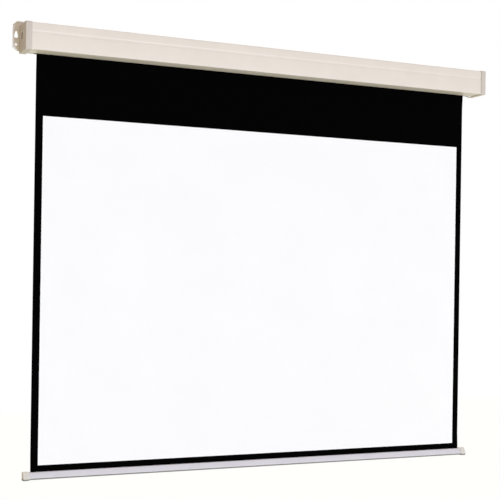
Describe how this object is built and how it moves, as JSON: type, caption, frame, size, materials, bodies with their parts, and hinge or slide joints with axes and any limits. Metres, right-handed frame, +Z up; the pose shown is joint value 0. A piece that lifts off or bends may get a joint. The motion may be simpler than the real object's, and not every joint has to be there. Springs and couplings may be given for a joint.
{
  "type": "projection screen",
  "caption": "Wall-hung pull-down projection screen: black-bordered white cloth on a spring roller in a long case, with a weight bar on its lower edge.",
  "frame": {"origin": "middle of the case's flat back, on the wall, halfway up the case", "axes": "+X along the case to the right, +Y into the wall, +Z up; the viewer is on the -Y side"},
  "size_m": [1.743, 0.0898, 1.4297],
  "materials": {
    "cream_enamel": "semi-gloss enamel, cream white",
    "bracket_enamel": "semi-gloss enamel, warm grey",
    "zinc_steel": "yellow zinc plated",
    "spring_steel": "oiled spring wire",
    "grey_plastic": "moulded, fine satin",
    "black_cloth": "matt black coated cloth",
    "white_face": "matt white coating",
    "black_nylon": "moulded nylon",
    "plain_aluminium": "mill finish",
    "white_enamel": "powder coat, white",
    "warm_plastic": "moulded, fine satin"
  },
  "bodies": {
    "case": {"case_shell": "cream_enamel", "left_bracket": "bracket_enamel", "right_bracket": "bracket_enamel", "left_bracket_screw_1": "zinc_steel", "left_bracket_screw_2": "zinc_steel", "left_bracket_screw_3": "zinc_steel", "right_bracket_screw_1": "zinc_steel", "right_bracket_screw_2": "zinc_steel", "right_bracket_screw_3": "zinc_steel", "left_end_cap": "grey_plastic", "right_end_cap": "grey_plastic", "screen_cloth": "black_cloth", "picture_face": "white_face", "spring_spindle": "zinc_steel", "torsion_spring": "spring_steel", "spring_anchor": "zinc_steel", "spindle_guide": "black_nylon", "ratchet_wheel": "zinc_steel", "pivot_bush": "black_nylon"},
    "roller": {"roller_tube": "plain_aluminium", "cloth_turns": "black_cloth", "ratchet_plug": "black_nylon", "ratchet_cover": "zinc_steel", "pawl_pin_a": "zinc_steel", "pawl_pin_b": "zinc_steel", "idler_plug": "black_nylon", "pivot_pin": "zinc_steel"},
    "upper_pawl": {"pawl_a": "zinc_steel"},
    "lower_pawl": {"pawl_b": "zinc_steel"},
    "bar": {"bottom_bar": "white_enamel", "cloth_hem": "black_cloth", "hem_rod": "zinc_steel", "left_bar_cap": "warm_plastic", "right_bar_cap": "warm_plastic"}
  },
  "joints": [
    {"name": "screen_travel", "type": "slide", "parent": "case", "child": "bar", "axis": [0, 0, 1], "range_m": [0, 1.3035], "deforming": ["screen_cloth", "picture_face"]},
    {"name": "roller_spin", "type": "hinge", "parent": "case", "child": "roller", "pos_m": [0, -0.04015, 0.006], "axis": [1, 0, 0], "range_deg": [0, 3240]},
    {"name": "upper_pawl_swing", "type": "hinge", "parent": "roller", "child": "upper_pawl", "pos_m": [-0.815, -0.04015, 0.0186], "axis": [1, 0, 0], "range_deg": [0, 19]},
    {"name": "lower_pawl_swing", "type": "hinge", "parent": "roller", "child": "lower_pawl", "pos_m": [-0.815, -0.04015, -0.0066], "axis": [1, 0, 0], "range_deg": [0, 19]}
  ],
  "couplings": [
    {"joint": "roller_spin", "follows": "screen_travel", "rad_per_m": 43.382}
  ]
}
